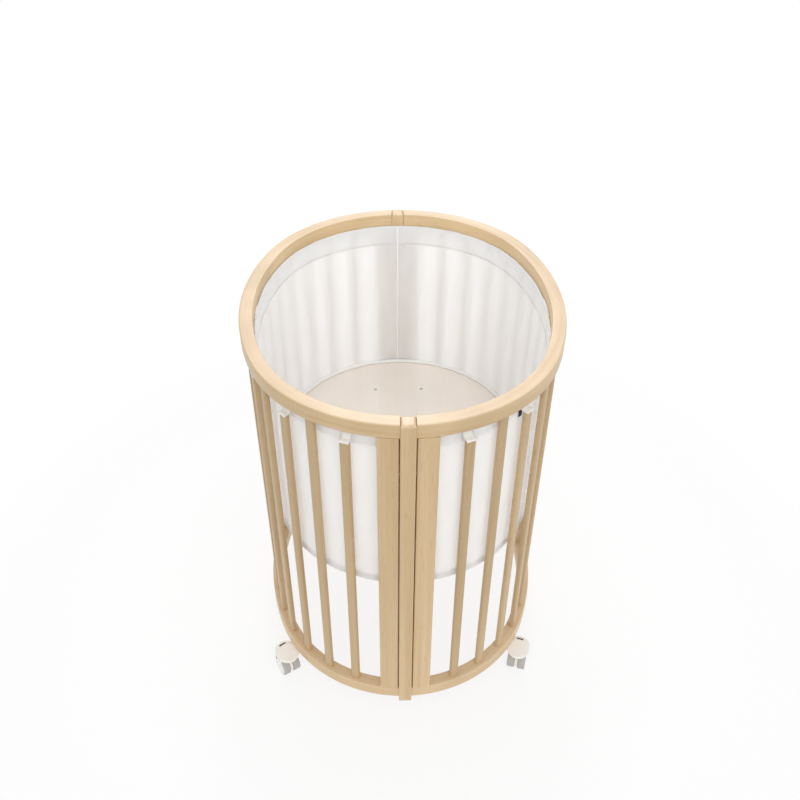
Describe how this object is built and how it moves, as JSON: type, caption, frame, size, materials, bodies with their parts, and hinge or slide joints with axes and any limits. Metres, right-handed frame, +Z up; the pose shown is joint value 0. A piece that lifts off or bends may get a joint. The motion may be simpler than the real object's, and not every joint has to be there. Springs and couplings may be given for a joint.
{
  "type": "baby crib",
  "caption": "Oval lacquered beech baby crib with slatted sides, a mesh liner, a mattress base at mid height and swivel casters.",
  "frame": {"origin": "on the floor below the middle of the crib", "axes": "+Z up, +Y from the front post to the back post, +X to the right"},
  "size_m": [0.67, 0.828, 0.892],
  "materials": {
    "beech": "clear satin lacquer",
    "beech_slats": "clear satin lacquer",
    "base_board": "pale lacquered ply",
    "liner_mesh": "fine white mesh",
    "strap_web": "white tape",
    "tag_black": "woven, blank",
    "caster_white": "moulded",
    "wheel": "moulded, soft grey tread",
    "pedal_grey": "moulded",
    "steel": "zinc plated",
    "dowel_wood": "bare"
  },
  "bodies": {
    "frame": {"back_left_board": "beech", "back_left_caster_bracket": "caster_white", "back_post": "beech", "back_right_board": "beech", "back_right_caster_bracket": "caster_white", "barrel_nuts": "steel", "base_brackets": "steel", "base_screws": "steel", "bracket_bolts": "steel", "caster_screws": "steel", "front_left_board": "beech", "front_left_caster_bracket": "caster_white", "front_post": "beech", "front_right_board": "beech", "front_right_caster_bracket": "caster_white", "left_back_full_slats": "beech_slats", "left_back_short_slats": "beech_slats", "left_bottom_rail": "beech", "left_front_full_slats": "beech_slats", "left_front_short_slats": "beech_slats", "left_liner": "liner_mesh", "left_liner_straps": "strap_web", "left_top_rail": "beech", "liner_tag": "tag_black", "mattress_base": "base_board", "post_studs": "steel", "rail_dowels": "dowel_wood", "right_back_full_slats": "beech_slats", "right_back_short_slats": "beech_slats", "right_bottom_rail": "beech", "right_front_full_slats": "beech_slats", "right_front_short_slats": "beech_slats", "right_liner": "liner_mesh", "right_liner_straps": "strap_web", "right_top_rail": "beech"},
    "front_left_swivel": {"front_left_caster_housing": "caster_white", "front_left_caster_stem": "steel", "front_left_caster_axle": "steel"},
    "front_left_left_wheel_body": {"front_left_left_wheel": "wheel"},
    "front_left_right_wheel_body": {"front_left_right_wheel": "wheel"},
    "front_left_pedal_body": {"front_left_brake_pedal": "pedal_grey"},
    "front_right_swivel": {"front_right_caster_housing": "caster_white", "front_right_caster_stem": "steel", "front_right_caster_axle": "steel"},
    "front_right_left_wheel_body": {"front_right_left_wheel": "wheel"},
    "front_right_right_wheel_body": {"front_right_right_wheel": "wheel"},
    "front_right_pedal_body": {"front_right_brake_pedal": "pedal_grey"},
    "back_left_swivel": {"back_left_caster_housing": "caster_white", "back_left_caster_stem": "steel", "back_left_caster_axle": "steel"},
    "back_left_left_wheel_body": {"back_left_left_wheel": "wheel"},
    "back_left_right_wheel_body": {"back_left_right_wheel": "wheel"},
    "back_left_pedal_body": {"back_left_brake_pedal": "pedal_grey"},
    "back_right_swivel": {"back_right_caster_housing": "caster_white", "back_right_caster_stem": "steel", "back_right_caster_axle": "steel"},
    "back_right_left_wheel_body": {"back_right_left_wheel": "wheel"},
    "back_right_right_wheel_body": {"back_right_right_wheel": "wheel"},
    "back_right_pedal_body": {"back_right_brake_pedal": "pedal_grey"}
  },
  "joints": [
    {"name": "front_left_swivel_turn", "type": "hinge", "parent": "frame", "child": "front_left_swivel", "pos_m": [-0.27889, -0.28346, 0.06], "axis": [0, 0, 1], "continuous": true},
    {"name": "front_left_left_wheel_spin", "type": "hinge", "parent": "front_left_swivel", "child": "front_left_left_wheel_body", "pos_m": [-0.28313, -0.27667, 0.025], "axis": [0.848, 0.5299, 0], "continuous": true},
    {"name": "front_left_right_wheel_spin", "type": "hinge", "parent": "front_left_swivel", "child": "front_left_right_wheel_body", "pos_m": [-0.28313, -0.27667, 0.025], "axis": [0.848, 0.5299, 0], "continuous": true},
    {"name": "front_left_brake_press", "type": "hinge", "parent": "front_left_swivel", "child": "front_left_pedal_body", "pos_m": [-0.2879, -0.26904, 0.061], "axis": [-0.848, -0.5299, 0], "range_deg": [0, 12]},
    {"name": "front_right_swivel_turn", "type": "hinge", "parent": "frame", "child": "front_right_swivel", "pos_m": [0.27889, -0.28346, 0.06], "axis": [0, 0, 1], "continuous": true},
    {"name": "front_right_left_wheel_spin", "type": "hinge", "parent": "front_right_swivel", "child": "front_right_left_wheel_body", "pos_m": [0.28123, -0.27581, 0.025], "axis": [0.9563, -0.2924, 0], "continuous": true},
    {"name": "front_right_right_wheel_spin", "type": "hinge", "parent": "front_right_swivel", "child": "front_right_right_wheel_body", "pos_m": [0.28123, -0.27581, 0.025], "axis": [0.9563, -0.2924, 0], "continuous": true},
    {"name": "front_right_brake_press", "type": "hinge", "parent": "front_right_swivel", "child": "front_right_pedal_body", "pos_m": [0.28386, -0.2672, 0.061], "axis": [-0.9563, 0.2924, 0], "range_deg": [0, 12]},
    {"name": "back_left_swivel_turn", "type": "hinge", "parent": "frame", "child": "back_left_swivel", "pos_m": [-0.27889, 0.28346, 0.06], "axis": [0, 0, 1], "continuous": true},
    {"name": "back_left_left_wheel_spin", "type": "hinge", "parent": "back_left_swivel", "child": "back_left_left_wheel_body", "pos_m": [-0.28264, 0.2764, 0.025], "axis": [-0.8829, 0.4695, 0], "continuous": true},
    {"name": "back_left_right_wheel_spin", "type": "hinge", "parent": "back_left_swivel", "child": "back_left_right_wheel_body", "pos_m": [-0.28264, 0.2764, 0.025], "axis": [-0.8829, 0.4695, 0], "continuous": true},
    {"name": "back_left_brake_press", "type": "hinge", "parent": "back_left_swivel", "child": "back_left_pedal_body", "pos_m": [-0.28687, 0.26845, 0.061], "axis": [0.8829, -0.4695, 0], "range_deg": [0, 12]},
    {"name": "back_right_swivel_turn", "type": "hinge", "parent": "frame", "child": "back_right_swivel", "pos_m": [0.27889, 0.28346, 0.06], "axis": [0, 0, 1], "continuous": true},
    {"name": "back_right_left_wheel_spin", "type": "hinge", "parent": "back_right_swivel", "child": "back_right_left_wheel_body", "pos_m": [0.28082, 0.2757, 0.025], "axis": [-0.9703, -0.2419, 0], "continuous": true},
    {"name": "back_right_right_wheel_spin", "type": "hinge", "parent": "back_right_swivel", "child": "back_right_right_wheel_body", "pos_m": [0.28082, 0.2757, 0.025], "axis": [-0.9703, -0.2419, 0], "continuous": true},
    {"name": "back_right_brake_press", "type": "hinge", "parent": "back_right_swivel", "child": "back_right_pedal_body", "pos_m": [0.283, 0.26696, 0.061], "axis": [0.9703, 0.2419, 0], "range_deg": [0, 12]}
  ]
}
